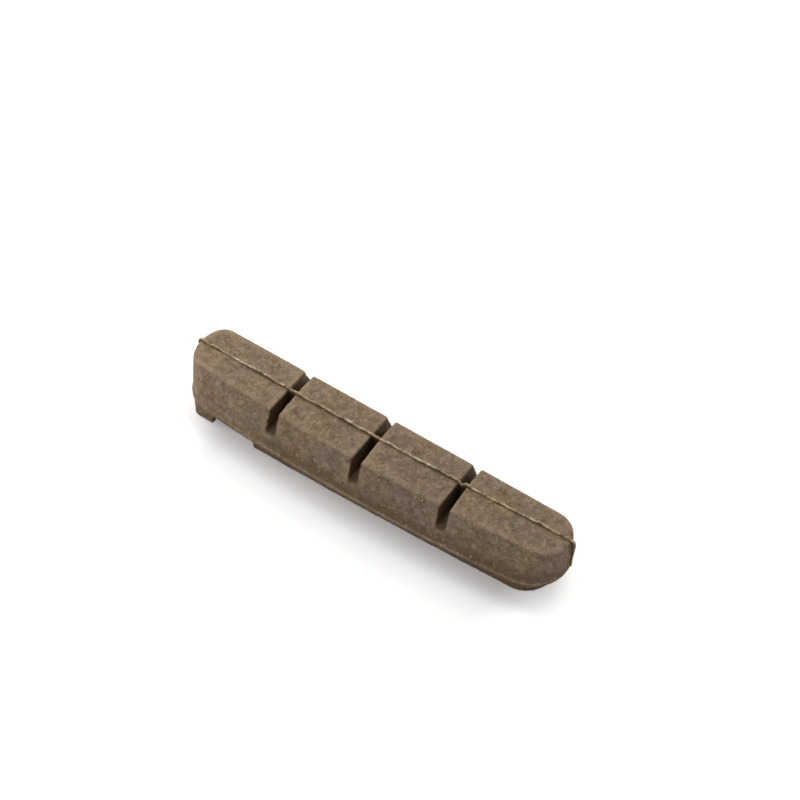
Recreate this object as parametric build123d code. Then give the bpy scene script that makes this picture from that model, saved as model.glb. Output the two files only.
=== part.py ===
from build123d import *
import os
from dataclasses import dataclass
from math import atan2, cos, degrees, radians, sin, sqrt, tau

# Bicycle rim brake pad: an insert that slides into a shoe, moulded in one piece of cork and rubber compound.
# X runs from the heel (the key's end) to the nose, Y across, and Z up from the rail's back to the braking face.
# The side of the braking face that bows out with the rim is on -Y.

# Lengths and heights, in millimetres
length = 55.0               # base, heel to nose
rail_thickness = 2.5        # head of the T-section rail
undercut_height = 1.25      # slot between the rail's head and the base
base_height = 5.55          # underside of the base to the braking face

heel_end_angle = 30.0       # crowned heel ends, from their middle to their corners, in degrees

# Base, at its underside
base_heel_near = 5.55       # half width at the heel, bowed side
base_heel_far = 5.42        # half width at the heel, straight side
base_heel_corner_radius = 5.0
base_nose_radius = 5.1
base_nose_shift = -0.4      # nose centre, towards the bowed side
base_bow_radius = 285.0     # bowed side
base_edge_radius = 0.15

# Lip round the base, under the slanted walls
lip_rim = 0.6               # upright rim
lip_flare = 0.25            # height from the rim to the foot of the walls
lip_reach = 0.45            # beyond the foot of the walls, along both sides
lip_end_reach = 0.05        # the same at the heel and the nose

# Braking face
face_setback = 0.1          # draft at the heel and the nose
face_heel_near = 3.1
face_heel_far = 3.7
face_heel_corner_radius = 2.0
face_nose_radius = 3.25
face_nose_shift = -0.35
face_bow_radius = 297.0     # bowed side, about the rim's own radius
face_edge_radius = 0.4

# Cross grooves in the braking face
groove_count = 3
groove_pitch = 12.6
groove_depth = 3.4
groove_mouth = 1.5
groove_floor = 1.0
groove_floor_radius = 0.35

# Rail on the back, with the waist and the key at its heel
rail_heel_setback = 0.45    # key's end, inside the base's heel
rail_nose_setback = 1.95    # rail's nose, inside the base's nose
rail_heel_half_width = 4.45
rail_heel_corner_radius = 1.6
rail_nose_radius = 3.8
rail_nose_shift = -0.12
rail_bow_radius = 900.0
rail_edge_radius = 0.2
undercut_width = 1.0        # rail's head over its stem, on every side
key_length = 4.85
waist_length = 6.0
waist_scoop_radius = 1.8    # hollow from the waist's floor up to the key
waist_corner_radius = 0.5   # waist's floor to the rail's end

# Moulding flash along the parting plane
flash_offset = -0.05        # parting plane, towards the bowed side
flash_thickness = 0.18
flash_height = 0.25         # proud of the braking face, the heel and the nose
flash_heel_drop = 1.4       # below the braking face at the heel
flash_nose_end = 0.45       # its torn end on the nose, above the base's underside
film_root = 0.8             # depth of each film inside the solid
web_reach = 1.2             # torn film under the rail's nose, along the base
tag_reach = 1.2             # torn film on the key, out over the waist
tag_tip = 0.35              # its tip, above the rail's back
tag_root = 1.5              # its root on the key's wall, above the rail's back

# Heights and ends that follow
base_z = rail_thickness + undercut_height
face_z = base_z + base_height
heel_x = -length / 2
nose_x = length / 2
key_end_x = heel_x + rail_heel_setback + key_length
rail_end_x = key_end_x + waist_length
rail_nose_x = nose_x - rail_nose_setback


@dataclass
class Corner:
    """A rounded corner of an outline: its centre and its radius."""

    x: float
    y: float
    radius: float

    @property
    def centre(self) -> Vector:
        """The centre as a point."""
        return Vector(self.x, self.y)


def straight_tangent(a: Corner, b: Corner) -> tuple[Vector, Vector]:
    """Points where the outer tangent leaves corner a and meets corner b, anticlockwise."""
    across = b.centre - a.centre
    along = across.normalized()
    lean = (a.radius - b.radius) / across.length
    outward = along * lean + Vector(along.Y, -along.X) * sqrt(1 - lean**2)
    return a.centre + outward * a.radius, b.centre + outward * b.radius


def bow_centre(a: Corner, b: Corner, radius: float) -> Vector:
    """Centre of the large arc that bows outwards and runs tangent into corners a and b."""
    across = b.centre - a.centre
    along = across.normalized()
    from_a = radius - a.radius
    from_b = radius - b.radius
    step = (from_a**2 - from_b**2 + across.length**2) / (2 * across.length)
    return a.centre + along * step + Vector(-along.Y, along.X) * sqrt(from_a**2 - step**2)


def sweep_arc(centre: Vector, radius: float, start: Vector, end: Vector) -> Edge:
    """Anticlockwise arc about a centre, from the direction of one point to that of another."""
    first = atan2(start.Y - centre.Y, start.X - centre.X)
    last = atan2(end.Y - centre.Y, end.X - centre.X)
    return CenterArc(centre, radius, degrees(first), degrees((last - first) % tau))


def rounded_outline(corners: list[Corner], bows: list[float | None]) -> Sketch:
    """Closed outline through rounded corners, anticlockwise.

    bows[i] joins corner i to the next one: None for a straight side, or the radius of an arc that bows out.
    """
    sides = []
    for i, corner in enumerate(corners):
        following = corners[(i + 1) % len(corners)]
        if bows[i] is None:
            start, end = straight_tangent(corner, following)
            sides.append((start, end, Line(start, end)))
            continue
        centre = bow_centre(corner, following, bows[i])
        start = centre + (corner.centre - centre).normalized() * bows[i]
        end = centre + (following.centre - centre).normalized() * bows[i]
        sides.append((start, end, sweep_arc(centre, bows[i], start, end)))
    edges = []
    for i, corner in enumerate(corners):
        arrives = sides[i - 1][1]
        leaves, _, side = sides[i]
        edges.append(sweep_arc(corner.centre, corner.radius, arrives, leaves))
        edges.append(side)
    return make_face(edges)


def pad_outline(
    heel: float, near: float, far: float, corner_radius: float, nose: Corner, bow: float | None = None
) -> Sketch:
    """Plan of the base, the face or the rail: crowned heel end, two long sides and a round nose.

    near and far are the half widths at the heel on -Y and +Y, and bow is the radius of the -Y side.
    """
    angle = radians(heel_end_angle)
    reach = ((near + far) / 2 - corner_radius) / sin(angle)
    end_radius = corner_radius + reach
    corner_x = heel + end_radius - reach * cos(angle)
    corners = [
        Corner(corner_x, corner_radius - near, corner_radius),
        nose,
        Corner(corner_x, far - corner_radius, corner_radius),
    ]
    return rounded_outline(corners, [bow, None, end_radius])


def base_outline() -> Sketch:
    """Plan of the base's underside."""
    nose = Corner(nose_x - base_nose_radius, base_nose_shift, base_nose_radius)
    return pad_outline(heel_x, base_heel_near, base_heel_far, base_heel_corner_radius, nose, base_bow_radius)


def foot_outline() -> Sketch:
    """Plan of the slanted walls' foot, inside the lip."""
    near = base_heel_near - lip_reach
    far = base_heel_far - lip_reach
    corner_radius = base_heel_corner_radius - lip_reach
    nose_radius = base_nose_radius - lip_reach
    nose = Corner(nose_x - lip_end_reach - nose_radius, base_nose_shift, nose_radius)
    return pad_outline(heel_x + lip_end_reach, near, far, corner_radius, nose, base_bow_radius)


def face_outline() -> Sketch:
    """Plan of the braking face before its edge is softened."""
    heel = heel_x + face_setback
    nose = Corner(nose_x - face_setback - face_nose_radius, face_nose_shift, face_nose_radius)
    return pad_outline(heel, face_heel_near, face_heel_far, face_heel_corner_radius, nose, face_bow_radius)


def base_block() -> Part:
    """Base with slanted walls, from its lipped underside up to the soft-edged braking face."""
    levels = [
        (base_z, base_outline()),
        (base_z + lip_rim, base_outline()),
        (base_z + lip_rim + lip_flare, foot_outline()),
        (face_z, face_outline()),
    ]
    block = loft([Pos(0, 0, z) * outline for z, outline in levels], ruled=True)
    block = fillet(block.faces().sort_by(Axis.Z)[-1].edges(), face_edge_radius)
    return fillet(block.faces().sort_by(Axis.Z)[0].edges(), base_edge_radius)


def groove_cutters() -> list[Part]:
    """Tapered cutters for the cross grooves, evenly pitched about the middle of the pad."""
    floor_z = face_z - groove_depth
    widen = (groove_mouth - groove_floor) / 2
    mouth_half = groove_mouth / 2 + widen
    mouth_z = face_z + groove_depth
    section = Plane.XZ * make_face(
        Polyline(
            (-groove_floor / 2, floor_z),
            (groove_floor / 2, floor_z),
            (mouth_half, mouth_z),
            (-mouth_half, mouth_z),
            close=True,
        )
    )
    section = fillet(section.vertices().group_by(Axis.Z)[0], groove_floor_radius)
    cutter = extrude(section, 2 * base_heel_near, both=True)
    first = -(groove_count - 1) * groove_pitch / 2
    return [Pos(first + i * groove_pitch, 0, 0) * cutter for i in range(groove_count)]


def rail_outline() -> Sketch:
    """Plan of the rail's head, from the key's end to the rail's nose."""
    heel = heel_x + rail_heel_setback
    half = rail_heel_half_width
    nose = Corner(rail_nose_x - rail_nose_radius, rail_nose_shift, rail_nose_radius)
    return pad_outline(heel, half, half, rail_heel_corner_radius, nose, rail_bow_radius)


def waist_section() -> Sketch:
    """Side view of the gap between the key and the rail's end, as deep as the rail's head."""
    return Plane.XZ * make_face(
        Polyline(
            (key_end_x, 0),
            (rail_end_x, 0),
            (rail_end_x, rail_thickness),
            (key_end_x, rail_thickness),
            close=True,
        )
    )


def waist_hollow() -> Sketch:
    """The same gap along the stem, where its floor is scooped up to the key."""
    section = waist_section()
    floor = section.vertices().group_by(Axis.Z)[-1].sort_by(Axis.X)
    section = fillet(floor[0], waist_scoop_radius)
    corner = section.vertices().group_by(Axis.Z)[-1].sort_by(Axis.X)[-1]
    return fillet(corner, waist_corner_radius)


def rail() -> Part:
    """T-section rail: soft-edged head, narrower stem up to the base, and the waist behind the key."""
    plan = rail_outline()
    stem_plan = offset(plan, -undercut_width)
    gap = extrude(waist_section(), 2 * rail_heel_half_width, both=True)
    hollow = extrude(waist_hollow(), 2 * rail_heel_half_width, both=True)
    head = extrude(plan, rail_thickness) - gap
    head = fillet(head.faces().group_by(Axis.Z)[0].edges(), rail_edge_radius)
    neck = (extrude(stem_plan, rail_thickness) & gap) - hollow
    stem = Pos(0, 0, rail_thickness) * extrude(stem_plan, undercut_height)
    return head + stem + neck


def parting_film(points: list[tuple[float, float]]) -> Part:
    """Thin film of compound in the parting plane, from its X and Z corners."""
    section = Plane.XZ * make_face(Polyline(*points, close=True))
    return Pos(0, flash_offset, 0) * extrude(section, flash_thickness / 2, both=True)


def flash() -> list[Part]:
    """Flash over the face, across the grooves and down the nose, and the torn films on the back."""
    top_z = face_z + flash_height
    root_z = face_z - groove_depth - film_root
    outer_heel = heel_x - flash_height
    outer_nose = nose_x + flash_height
    nose_end_z = base_z + flash_nose_end
    soft = face_edge_radius
    ridge = parting_film(
        [
            (outer_heel, face_z - flash_heel_drop),
            (outer_heel, top_z - soft),
            (outer_heel + soft, top_z),
            (outer_nose - soft, top_z),
            (outer_nose, top_z - soft),
            (outer_nose, nose_end_z),
            (nose_x - film_root, nose_end_z),
            (nose_x - film_root, root_z),
            (heel_x + film_root, root_z),
        ]
    )
    web_x = rail_nose_x - undercut_width - film_root
    web = parting_film(
        [
            (web_x, rail_thickness),
            (rail_nose_x, rail_thickness),
            (rail_nose_x + web_reach, base_z),
            (web_x, base_z),
        ]
    )
    tag = parting_film(
        [
            (key_end_x - film_root, tag_tip),
            (key_end_x + tag_reach, tag_tip),
            (key_end_x, tag_root),
            (key_end_x - film_root, tag_root),
        ]
    )
    return [ridge, web, tag]


def brake_pad() -> Part:
    """The whole pad as one moulded solid."""
    block = base_block()
    for cutter in groove_cutters():
        block -= cutter
    pad = block + rail()
    for film in flash():
        pad += film
    return pad


os.makedirs("parts", exist_ok=True)
pad = brake_pad()
pad.label = "brake_pad"
export_step(pad, "parts/brake_pad.step")
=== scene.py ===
"""Look of a bicycle rim brake pad: cork compound, parting flash and loose grains, on a white floor."""

import logging
import math
from dataclasses import dataclass
from enum import Enum
from typing import Any

import bmesh
import bpy
import numpy as np
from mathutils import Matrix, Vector


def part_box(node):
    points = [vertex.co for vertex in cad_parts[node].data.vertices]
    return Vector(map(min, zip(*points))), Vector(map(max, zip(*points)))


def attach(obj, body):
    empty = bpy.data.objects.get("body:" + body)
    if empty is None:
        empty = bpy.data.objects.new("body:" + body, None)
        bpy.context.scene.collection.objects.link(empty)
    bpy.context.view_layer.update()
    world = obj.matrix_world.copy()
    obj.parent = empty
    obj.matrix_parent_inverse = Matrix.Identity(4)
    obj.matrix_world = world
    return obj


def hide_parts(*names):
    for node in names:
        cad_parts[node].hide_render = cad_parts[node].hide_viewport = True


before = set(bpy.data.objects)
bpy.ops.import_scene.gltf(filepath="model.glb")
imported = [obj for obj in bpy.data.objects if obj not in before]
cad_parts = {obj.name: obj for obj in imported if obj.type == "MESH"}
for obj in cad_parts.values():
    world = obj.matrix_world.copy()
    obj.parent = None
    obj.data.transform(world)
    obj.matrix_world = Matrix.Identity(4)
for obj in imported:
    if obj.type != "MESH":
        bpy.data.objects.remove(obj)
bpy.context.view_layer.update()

MM = 0.001
NODE = "brake_pad"
BODY = "root"
CREST = "crest"
TONE = "tone"
NOISE_MIDDLE = 0.5
LOG = logging.getLogger(NODE)

Colour = tuple[float, float, float, float]
Steps = tuple[float, ...]
Array = np.ndarray
Socket = bpy.types.NodeSocket
Tree = bpy.types.NodeTree
Material = bpy.types.Material
Object = bpy.types.Object


class Graph:
    """A short way to place nodes in one tree and join them."""

    def __init__(self, tree: Tree) -> None:
        """Empty the tree and keep it."""
        self.tree = tree
        tree.nodes.clear()

    def add(
        self, kind: str, inputs: dict[str | int, Any] | None = None, **settings: Any
    ) -> bpy.types.Node:
        """Place one node.

        Args:
            kind: Blender's name of the node type.
            inputs: What goes into its inputs, by name or index: a socket to join or a value to set.
            settings: Properties of the node itself.

        Returns:
            The new node.
        """
        node = self.tree.nodes.new(kind)
        for name, value in settings.items():
            setattr(node, name, value)
        for key, value in (inputs or {}).items():
            if isinstance(value, bpy.types.NodeSocket):
                self.tree.links.new(value, node.inputs[key])
            else:
                node.inputs[key].default_value = value
        return node

    def math(self, operation: str, a: Any, b: Any) -> Socket:
        """One arithmetic step on two sockets or numbers."""
        return self.add("ShaderNodeMath", {0: a, 1: b}, operation=operation).outputs[0]

    def plus(self, a: Any, b: Any) -> Socket:
        """Sum of two numbers."""
        return self.math("ADD", a, b)

    def minus(self, a: Any, b: Any) -> Socket:
        """Difference of two numbers."""
        return self.math("SUBTRACT", a, b)

    def times(self, a: Any, b: Any) -> Socket:
        """Product of two numbers."""
        return self.math("MULTIPLY", a, b)

    def vector(self, operation: str, a: Any, b: Any) -> Socket:
        """One step on two vectors."""
        return self.add("ShaderNodeVectorMath", {0: a, 1: b}, operation=operation).outputs["Vector"]

    def scaled(self, a: Any, factor: Any) -> Socket:
        """A vector times a number."""
        inputs = {0: a, "Scale": factor}
        return self.add("ShaderNodeVectorMath", inputs, operation="SCALE").outputs["Vector"]

    def parts(self, vector: Any) -> Any:
        """The three numbers of a vector."""
        return self.add("ShaderNodeSeparateXYZ", {0: vector}).outputs

    def ramp(self, value: Any, low: Any, high: Any, to_low: Any = 0.0, to_high: Any = 1.0) -> Socket:
        """Smooth step of a value, from one answer below a range to another above it."""
        inputs = {0: value, 1: low, 2: high, 3: to_low, 4: to_high}
        return self.add("ShaderNodeMapRange", inputs, interpolation_type="SMOOTHSTEP").outputs[0]

    def blend(self, factor: Any, a: Any, b: Any, mode: str = "MIX") -> Socket:
        """Mix of two colours, the factor saying how much of the second one."""
        inputs = {0: factor, 6: a, 7: b}
        return self.add("ShaderNodeMix", inputs, data_type="RGBA", blend_type=mode).outputs[2]

    def noise(
        self, vector: Any, size: Any, detail: float = 2.0, seed: Any = 0.0, rough: float = 0.6
    ) -> Socket:
        """Noise whose features are about as wide as a size.

        Args:
            vector: Place that is read.
            size: Width of a feature, in metres.
            detail: How many finer layers it has.
            seed: Which of the endless patterns it takes.
            rough: How strong the finer layers are.

        Returns:
            The socket with the noise, about 0.5 on average.
        """
        scale = self.math("DIVIDE", 1.0, size)
        inputs = {"Vector": vector, "W": seed, "Scale": scale, "Detail": detail, "Roughness": rough}
        return self.add("ShaderNodeTexNoise", inputs, noise_dimensions="4D").outputs["Fac"]

    def swing(self, vector: Any, size: Any, seed: Any, detail: float = 1.0) -> Socket:
        """Noise that swings about 0."""
        return self.minus(self.noise(vector, size, detail, seed), NOISE_MIDDLE)

    def random(self, low: Any, high: Any, seed: Any) -> Socket:
        """A random number between two limits for each item."""
        return self.add("FunctionNodeRandomValue", {2: low, 3: high, "Seed": seed}).outputs[1]

    def noted(self, name: str) -> Socket:
        """What a piece notes on its points, for a shader."""
        return self.add("ShaderNodeAttribute", attribute_name=name).outputs["Fac"]

    def captured(self, geometry: Socket, fields: dict[str, Socket]) -> Any:
        """Keep vectors of a curve's points for later steps.

        Args:
            geometry: The curve.
            fields: The vectors by name.

        Returns:
            The curve and the kept vectors, by name.
        """
        node = self.add("GeometryNodeCaptureAttribute", {"Geometry": geometry}, domain="POINT")
        for label, value in fields.items():
            node.capture_items.new("VECTOR", label)
            self.tree.links.new(value, node.inputs[label])
        return node.outputs

    def hand_out(self, geometry: Socket, material: Socket) -> None:
        """End a tree of geometry nodes: real instances, their material and the way out.

        Args:
            geometry: What the tree has made.
            material: The tree's input with the material.
        """
        plain = self.add("GeometryNodeRealizeInstances", {"Geometry": geometry})
        inputs = {"Geometry": plain.outputs[0], "Material": material}
        dressed = self.add("GeometryNodeSetMaterial", inputs)
        self.add("NodeGroupOutput", {"Geometry": dressed.outputs[0]})

    def cover(self, inputs: dict[str, Any]) -> None:
        """End a material in one plain shader."""
        shader = self.add("ShaderNodeBsdfPrincipled", inputs)
        self.add("ShaderNodeOutputMaterial", {"Surface": shader.outputs["BSDF"]})


class SocketKind(Enum):
    """Kinds of sockets that a group of nodes shows."""

    GEOMETRY = "NodeSocketGeometry"
    FLOAT = "NodeSocketFloat"
    INTEGER = "NodeSocketInt"
    VECTOR = "NodeSocketVector"
    COLOUR = "NodeSocketColor"
    MATERIAL = "NodeSocketMaterial"

    def named(self, *labels: str) -> dict[str, "SocketKind"]:
        """Sockets of this kind by their names."""
        return dict.fromkeys(labels, self)


def new_group(
    name: str, tree_kind: str, takes: dict[str, SocketKind], gives: dict[str, SocketKind]
) -> tuple[Graph, Any]:
    """Start a group of nodes with named sockets.

    Args:
        name: Name of the group.
        tree_kind: Blender's name of the kind of tree.
        takes: Inputs and their kinds, in order.
        gives: Outputs and their kinds, in order.

    Returns:
        The graph of the group, and what it is given, by name.
    """
    graph = Graph(bpy.data.node_groups.new(name, tree_kind))
    for way, sockets in (("INPUT", takes), ("OUTPUT", gives)):
        for label, kind in sockets.items():
            graph.tree.interface.new_socket(name=label, in_out=way, socket_type=kind.value)
    return graph, graph.add("NodeGroupInput").outputs


def new_grower(name: str, takes: dict[str, SocketKind]) -> tuple[Graph, Any]:
    """Start a tree of geometry nodes, which also takes a shape and a material."""
    shape, dress = SocketKind.GEOMETRY.named("Geometry"), SocketKind.MATERIAL.named("Material")
    return new_group(name, "GeometryNodeTree", shape | takes | dress, shape)


def labelled(holder: Any, *names: str) -> dict[str, Any]:
    """Fields of a finish or a piece, by the labels of the sockets that take them."""
    return {name.replace("_", " ").title(): getattr(holder, name) for name in names}


def new_material(name: str) -> tuple[Material, Graph]:
    """Start a material.

    Args:
        name: Name of the material.

    Returns:
        The material and its empty graph.
    """
    material = bpy.data.materials.new(name)
    material.use_nodes = True
    return material, Graph(material.node_tree)


@dataclass(frozen=True)
class Patches:
    """Noise turned into soft patches between two levels."""

    size: float
    detail: float
    seed: float
    start: float
    full: float
    lowest: float
    highest: float

    def level(self, graph: Graph, vector: Any) -> Socket:
        """Level of the patches at a place."""
        noise = graph.noise(vector, self.size, self.detail, self.seed)
        return graph.ramp(noise, self.start, self.full, self.lowest, self.highest)


@dataclass
class ShaderGroups:
    """Effects that several finishes share, each built once."""

    chip_share: float = 0.25
    mottle_detail: float = 2.5
    mottle_seed: float = 1.7
    mottle_rough: float = 0.65
    shade_steps: tuple[float, float] = (0.28, 0.5)
    light_steps: tuple[float, float] = (0.5, 0.72)
    cast_seed: float = 5.3
    cast_steps: tuple[float, float] = (0.36, 0.64)
    rough_steps: tuple[float, float, float, float] = (0.3, 0.7, 0.92, 0.76)
    fleck_steps: tuple[float, float] = (0.25, 0.5)
    patchy: Patches = Patches(0.5 * MM, 2.0, 7.9, 0.3, 0.66, 0.35, 1.0)
    worn: Patches = Patches(2.4 * MM, 1.0, 3.3, 0.36, 0.62, 0.4, 1.0)
    # Span over which the painted light falls off from the heel to the nose.
    level_span: tuple[float, float] = (-26.0 * MM, 12.0 * MM)

    def __post_init__(self) -> None:
        """Build the groups."""
        self.mottle = self._mottle()
        self.flecks = self._flecks()
        self.handling = self._handling()

    def _mottle(self) -> Tree:
        """Ground of the compound: granules and mottles of three colours, under a slow cast.

        Returns:
            The group.
        """
        takes = SocketKind.VECTOR.named("Vector")
        takes |= SocketKind.COLOUR.named("Dark", "Middle", "Light", "Cool Cast", "Warm Cast")
        takes |= SocketKind.FLOAT.named("Granule Size", "Mottle Size", "Cast Size")
        gives = SocketKind.COLOUR.named("Color") | SocketKind.FLOAT.named("Height", "Rough")
        graph, given = new_group("compound_mottle", "ShaderNodeTree", takes, gives)
        place = given["Vector"]
        mottle = graph.noise(
            place, given["Mottle Size"], self.mottle_detail, self.mottle_seed, self.mottle_rough
        )
        scale = graph.math("DIVIDE", 1.0, given["Granule Size"])
        cells = graph.add("ShaderNodeTexVoronoi", {"Vector": place, "Scale": scale})
        chip = graph.add("ShaderNodeSeparateColor", {0: cells.outputs["Color"]}).outputs[0]
        fine = graph.times(chip, self.chip_share)
        tone = graph.plus(fine, graph.times(mottle, 1.0 - self.chip_share))
        shade = graph.blend(graph.ramp(tone, *self.shade_steps), given["Dark"], given["Middle"])
        ground = graph.blend(graph.ramp(tone, *self.light_steps), shade, given["Light"])
        slow = graph.noise(place, given["Cast Size"], seed=self.cast_seed)
        warmth = graph.ramp(slow, *self.cast_steps)
        cast = graph.blend(warmth, given["Cool Cast"], given["Warm Cast"])
        colour = graph.blend(1.0, ground, cast, "MULTIPLY")
        rough = graph.ramp(mottle, *self.rough_steps)
        graph.add("NodeGroupOutput", {"Color": colour, "Height": tone, "Rough": rough})
        return graph.tree

    def _flecks(self) -> Tree:
        """Scattered flecks of another colour, of uneven size.

        Returns:
            The group.
        """
        takes = SocketKind.VECTOR.named("Vector") | SocketKind.FLOAT.named("Size", "Share", "Seed")
        gives = SocketKind.FLOAT.named("Mask")
        graph, given = new_group("compound_flecks", "ShaderNodeTree", takes, gives)
        scale = graph.math("DIVIDE", 1.0, given["Size"])
        inputs = {"Vector": given["Vector"], "W": given["Seed"], "Scale": scale}
        cells = graph.add("ShaderNodeTexVoronoi", inputs, voronoi_dimensions="4D")
        chance = graph.add("ShaderNodeSeparateColor", {0: cells.outputs["Color"]}).outputs[1]
        chosen = graph.math("LESS_THAN", chance, given["Share"])
        core = graph.ramp(cells.outputs["Distance"], *self.fleck_steps, 1.0, 0.0)
        graph.add("NodeGroupOutput", {"Mask": graph.times(chosen, core)})
        return graph.tree

    def _handling(self) -> Tree:
        """Marks on the ground colour: edges paled partly by wear and partly by painted highlight,
        painted shade in corners, creases and hollows, and painted light that is brighter at the heel
        than at the nose.

        Returns:
            The group.
        """
        takes = SocketKind.VECTOR.named("Vector")
        takes |= SocketKind.COLOUR.named("Color", "Rubbed", "Grime", "Depth")
        takes |= SocketKind.FLOAT.named("Edge", "Corner", "Hollow", "Heel Level", "Nose Level")
        gives = SocketKind.COLOUR.named("Color")
        graph, given = new_group("compound_handling", "ShaderNodeTree", takes, gives)
        place = given["Vector"]
        # Wear and painted highlight on the edges, broken into patches.
        uneven = graph.times(self.patchy.level(graph, place), self.worn.level(graph, place))
        rub = graph.times(given["Edge"], uneven)
        rubbed = graph.blend(rub, given["Color"], given["Rubbed"])
        # Painted shade in corners, creases and low on the walls.
        soiled = graph.blend(given["Corner"], rubbed, given["Grime"])
        # Painted shade in the grooves and on the key's end.
        sunk = graph.blend(given["Hollow"], soiled, given["Depth"])
        # Painted light falling off along the pad, from the heel to the nose.
        along = graph.parts(place)[0]
        level = graph.ramp(along, *self.level_span, given["Heel Level"], given["Nose Level"])
        graph.add("NodeGroupOutput", {"Color": graph.scaled(sunk, level)})
        return graph.tree


def join(graph: Graph, group: Tree, inputs: dict[str, Any]) -> Any:
    """Place a shared effect in a material, and give its outputs."""
    return graph.add("ShaderNodeGroup", inputs, node_tree=group).outputs


class SkinMark(Enum):
    """What is noted on each point of the skin for its finish."""

    # Edges paled partly by wear and partly by painted highlight.
    EDGE = "edge"
    # Painted shade in corners, creases and low on the walls.
    CORNER = "corner"
    # Painted shade in the grooves and on the key's end.
    HOLLOW = "hollow"


@dataclass(frozen=True)
class Fleck:
    """One kind of fleck in the ground of the compound."""

    colour: Colour
    size: float
    share: float
    strength: float
    seed: float


@dataclass(frozen=True)
class CompoundFinish:
    """Moulded cork and rubber: matt, mottled brown with pits and flecks, edges paled partly by wear and
    partly by painted highlight.
    """

    dark: Colour = (0.114, 0.079, 0.051, 1.0)
    middle: Colour = (0.18, 0.128, 0.082, 1.0)
    light: Colour = (0.264, 0.196, 0.13, 1.0)
    cool_cast: Colour = (0.98, 0.984, 1.06, 1.0)
    warm_cast: Colour = (1.03, 1.006, 0.9, 1.0)
    # Pale colour for edges: partly wear, partly a painted highlight.
    rubbed: Colour = (0.31, 0.23, 0.14, 1.0)
    # Colour of painted shade in corners, creases and low on the walls.
    grime: Colour = (0.074, 0.043, 0.016, 1.0)
    # Colour of painted shade in the grooves and on the key's end.
    depth: Colour = (0.044, 0.022, 0.004, 1.0)
    granule_size: float = 0.32 * MM
    mottle_size: float = 1.0 * MM
    cast_size: float = 3.4 * MM
    bump: float = 0.06 * MM
    bump_strength: float = 0.6
    specular: float = 0.25
    # Painted light: the colour is brighter at the heel and darker at the nose, as the light falls off
    # along the pad.
    heel_level: float = 1.1
    nose_level: float = 0.93
    flecks: tuple[Fleck, ...] = (
        Fleck((0.4, 0.3, 0.168, 1.0), 0.3 * MM, 0.12, 0.62, 3.1),
        Fleck((0.19, 0.085, 0.04, 1.0), 0.6 * MM, 0.06, 0.45, 8.6),
        Fleck((0.05, 0.034, 0.02, 1.0), 0.4 * MM, 0.08, 0.46, 5.5),
    )

    def ground(self, graph: Graph, groups: ShaderGroups) -> Any:
        """Place the mottled ground.

        Args:
            graph: Graph of the material.
            groups: The shared effects.

        Returns:
            Its outputs.
        """
        inputs = labelled(self, "dark", "middle", "light", "cool_cast", "warm_cast")
        inputs |= labelled(self, "granule_size", "mottle_size", "cast_size")
        inputs["Vector"] = graph.add("ShaderNodeTexCoord").outputs["Object"]
        return join(graph, groups.mottle, inputs)

    def material(self, groups: ShaderGroups, name: str) -> Material:
        """Build the material.

        Args:
            groups: The shared effects.
            name: Name of the material.

        Returns:
            The new material.
        """
        material, graph = new_material(name)
        ground = self.ground(graph, groups)
        place = graph.add("ShaderNodeTexCoord").outputs["Object"]
        colour = ground["Color"]
        for fleck in self.flecks:
            inputs = {"Vector": place} | labelled(fleck, "size", "share", "seed")
            mask = join(graph, groups.flecks, inputs)["Mask"]
            colour = graph.blend(graph.times(mask, fleck.strength), colour, fleck.colour)
        inputs = {"Vector": place, "Color": colour}
        inputs |= labelled(self, "rubbed", "grime", "depth", "heel_level", "nose_level")
        for mark in SkinMark:
            inputs[mark.value.title()] = graph.noted(mark.value)
        height = {"Height": ground["Height"], "Strength": self.bump_strength, "Distance": self.bump}
        shader = {
            "Base Color": join(graph, groups.handling, inputs)["Color"],
            "Roughness": ground["Rough"],
            "Normal": graph.add("ShaderNodeBump", height).outputs["Normal"],
            "Specular IOR Level": self.specular,
        }
        graph.cover(shader)
        return material


@dataclass(frozen=True)
class FlashFinish:
    """Thin torn film: flanks darkened with painted shade and a pale, ragged crest."""

    ground: CompoundFinish
    # Painted shade on the film's flanks, below the pale crest.
    flank: Colour = (0.1, 0.064, 0.028, 1.0)
    crest_steps: tuple[float, float] = (0.65, 0.95)

    def material(self, groups: ShaderGroups, name: str) -> Material:
        """Build the material.

        Args:
            groups: The shared effects.
            name: Name of the material.

        Returns:
            The new material.
        """
        material, graph = new_material(name)
        ground = self.ground.ground(graph, groups)
        crest = graph.ramp(graph.noted(CREST), *self.crest_steps)
        shader = {
            "Base Color": graph.blend(crest, self.flank, ground["Color"]),
            "Roughness": ground["Rough"],
            "Specular IOR Level": self.ground.specular,
        }
        graph.cover(shader)
        return material


@dataclass(frozen=True)
class GrainFinish:
    """Loose grain of cork or filler: one colour family, a little different from grain to grain."""

    low: Colour
    high: Colour
    roughness: float = 0.7
    specular: float = 0.3

    def material(self, name: str) -> Material:
        """Build the material.

        Args:
            name: Name of the material.

        Returns:
            The new material.
        """
        material, graph = new_material(name)
        shader = {
            "Base Color": graph.blend(graph.noted(TONE), self.low, self.high),
            "Roughness": self.roughness,
            "Specular IOR Level": self.specular,
        }
        graph.cover(shader)
        return material


@dataclass(frozen=True)
class Grain:
    """One kind of grain: how many lie on a square metre, half widths, seed and finish."""

    label: str
    density: float
    smallest: float
    largest: float
    seed: int
    finish: GrainFinish


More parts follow.
